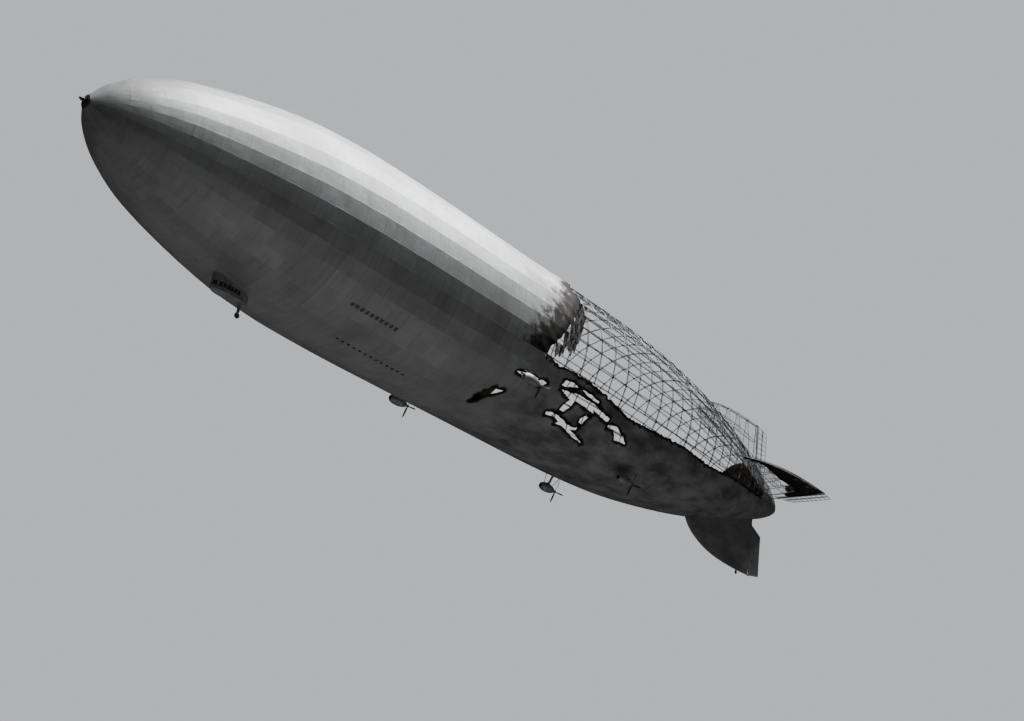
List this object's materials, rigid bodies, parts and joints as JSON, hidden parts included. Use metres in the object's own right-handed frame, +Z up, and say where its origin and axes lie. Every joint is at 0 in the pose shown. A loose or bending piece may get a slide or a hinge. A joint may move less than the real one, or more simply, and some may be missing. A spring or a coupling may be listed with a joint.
{
  "type": "rigid passenger airship, 1:10 scale model with a burnt stern",
  "caption": "Long cigar-shaped rigid airship, faceted cloth envelope open and burnt bare aft, with control car, pusher engine cars, cruciform fins, rudders and elevators.",
  "frame": {"origin": "on the hull's axis at the centre of buoyancy, station 115 m of the full-size ship", "axes": "+X aft, -Y to port, +Z up; the hull's axis lies level along X"},
  "size_m": [24.6, 4.454, 4.593],
  "materials": {
    "cover": "taut silver-doped cloth with a dull metallic sheen",
    "cover_burnt": "doped cloth, scorched and sooty",
    "gas_cell": "matt lined cotton",
    "frame": "dull, blued by lacquer and smoke",
    "car": "satin silver",
    "glass": "clear",
    "engine": "oily black",
    "propeller": "varnished dark laminated wood",
    "fittings": "dull",
    "tyre": "matt"
  },
  "bodies": {
    "hull": {"bow_cap": "cover", "envelope_nose_upper": "cover", "envelope_nose_lower": "cover", "envelope_bow_upper": "cover", "envelope_bow_lower": "cover", "envelope_shoulder_upper": "cover", "envelope_shoulder_lower": "cover", "envelope_middle_upper": "cover", "envelope_middle_lower": "cover", "envelope_burnt_upper": "cover", "envelope_burnt_lower": "cover", "envelope_lower_1": "cover_burnt", "envelope_lower_2": "cover_burnt", "envelope_lower_3": "cover_burnt", "envelope_lower_4": "cover_burnt", "tail_cone": "cover_burnt", "tail_cap": "cover_burnt", "gas_cell_wall": "gas_cell", "mooring_cone": "fittings", "stern_frame_1": "frame", "stern_frame_2": "frame", "stern_frame_3": "frame", "stern_frame_4": "frame", "stern_frame_5": "frame", "stern_frame_6": "frame", "stern_frame_7": "frame", "stern_frame_8": "frame", "control_car": "car", "control_car_glass": "glass", "rudder_helm": "fittings", "elevator_helm": "fittings", "landing_leg": "car", "engine_car_fwd_port": "car", "engine_car_fwd_stbd": "car", "engine_car_aft_port": "car", "engine_car_aft_stbd": "car", "engine_fwd_port": "engine", "engine_fwd_stbd": "engine", "engine_aft_port": "engine", "engine_aft_stbd": "engine", "struts_fwd_port": "fittings", "struts_fwd_stbd": "fittings", "struts_aft_port": "fittings", "struts_aft_stbd": "fittings", "fin_upper": "frame", "fin_port": "cover_burnt", "fin_lower": "cover", "fin_stbd": "cover"},
    "landing_wheel": {"landing_wheel": "tyre"},
    "tail_wheel": {"tail_wheel": "tyre"},
    "propeller_fwd_port": {"propeller_fwd_port": "propeller"},
    "propeller_fwd_stbd": {"propeller_fwd_stbd": "propeller"},
    "propeller_aft_port": {"propeller_aft_port": "propeller"},
    "propeller_aft_stbd": {"propeller_aft_stbd": "propeller"},
    "rudder_upper": {"rudder_upper": "frame"},
    "rudder_lower": {"rudder_lower": "cover"},
    "elevator_port": {"elevator_port": "frame"},
    "elevator_stbd": {"elevator_stbd": "cover"}
  },
  "joints": [
    {"name": "landing_wheel_spin", "type": "hinge", "parent": "hull", "child": "landing_wheel", "pos_m": [-7.39, 0, -2.31], "axis": [0, 1, 0], "continuous": true},
    {"name": "tail_wheel_spin", "type": "hinge", "parent": "hull", "child": "tail_wheel", "pos_m": [11.14, 0, -2.295], "axis": [0, 1, 0], "continuous": true},
    {"name": "propeller_fwd_port_spin", "type": "hinge", "parent": "hull", "child": "propeller_fwd_port", "pos_m": [-1, -1.89676, -1.42931], "axis": [1, 0, 0], "continuous": true},
    {"name": "propeller_fwd_stbd_spin", "type": "hinge", "parent": "hull", "child": "propeller_fwd_stbd", "pos_m": [-1, 1.89676, -1.42931], "axis": [1, 0, 0], "continuous": true},
    {"name": "propeller_aft_port_spin", "type": "hinge", "parent": "hull", "child": "propeller_aft_port", "pos_m": [3.8, -1.13688, -2.05098], "axis": [1, 0, 0], "continuous": true},
    {"name": "propeller_aft_stbd_spin", "type": "hinge", "parent": "hull", "child": "propeller_aft_stbd", "pos_m": [3.8, 1.13688, -2.05098], "axis": [1, 0, 0], "continuous": true},
    {"name": "rudder_upper_turn", "type": "hinge", "parent": "hull", "child": "rudder_upper", "pos_m": [11.842, 0, 1.5], "axis": [0, 0, 1], "range_deg": [-20, 20]},
    {"name": "rudder_lower_turn", "type": "hinge", "parent": "hull", "child": "rudder_lower", "pos_m": [11.842, 0, -1.5], "axis": [0, 0, 1], "range_deg": [-20, 20]},
    {"name": "elevator_port_turn", "type": "hinge", "parent": "hull", "child": "elevator_port", "pos_m": [11.842, -1.5, 0], "axis": [0, 1, 0], "range_deg": [-20, 20]},
    {"name": "elevator_stbd_turn", "type": "hinge", "parent": "hull", "child": "elevator_stbd", "pos_m": [11.842, 1.5, 0], "axis": [0, 1, 0], "range_deg": [-20, 20]}
  ]
}
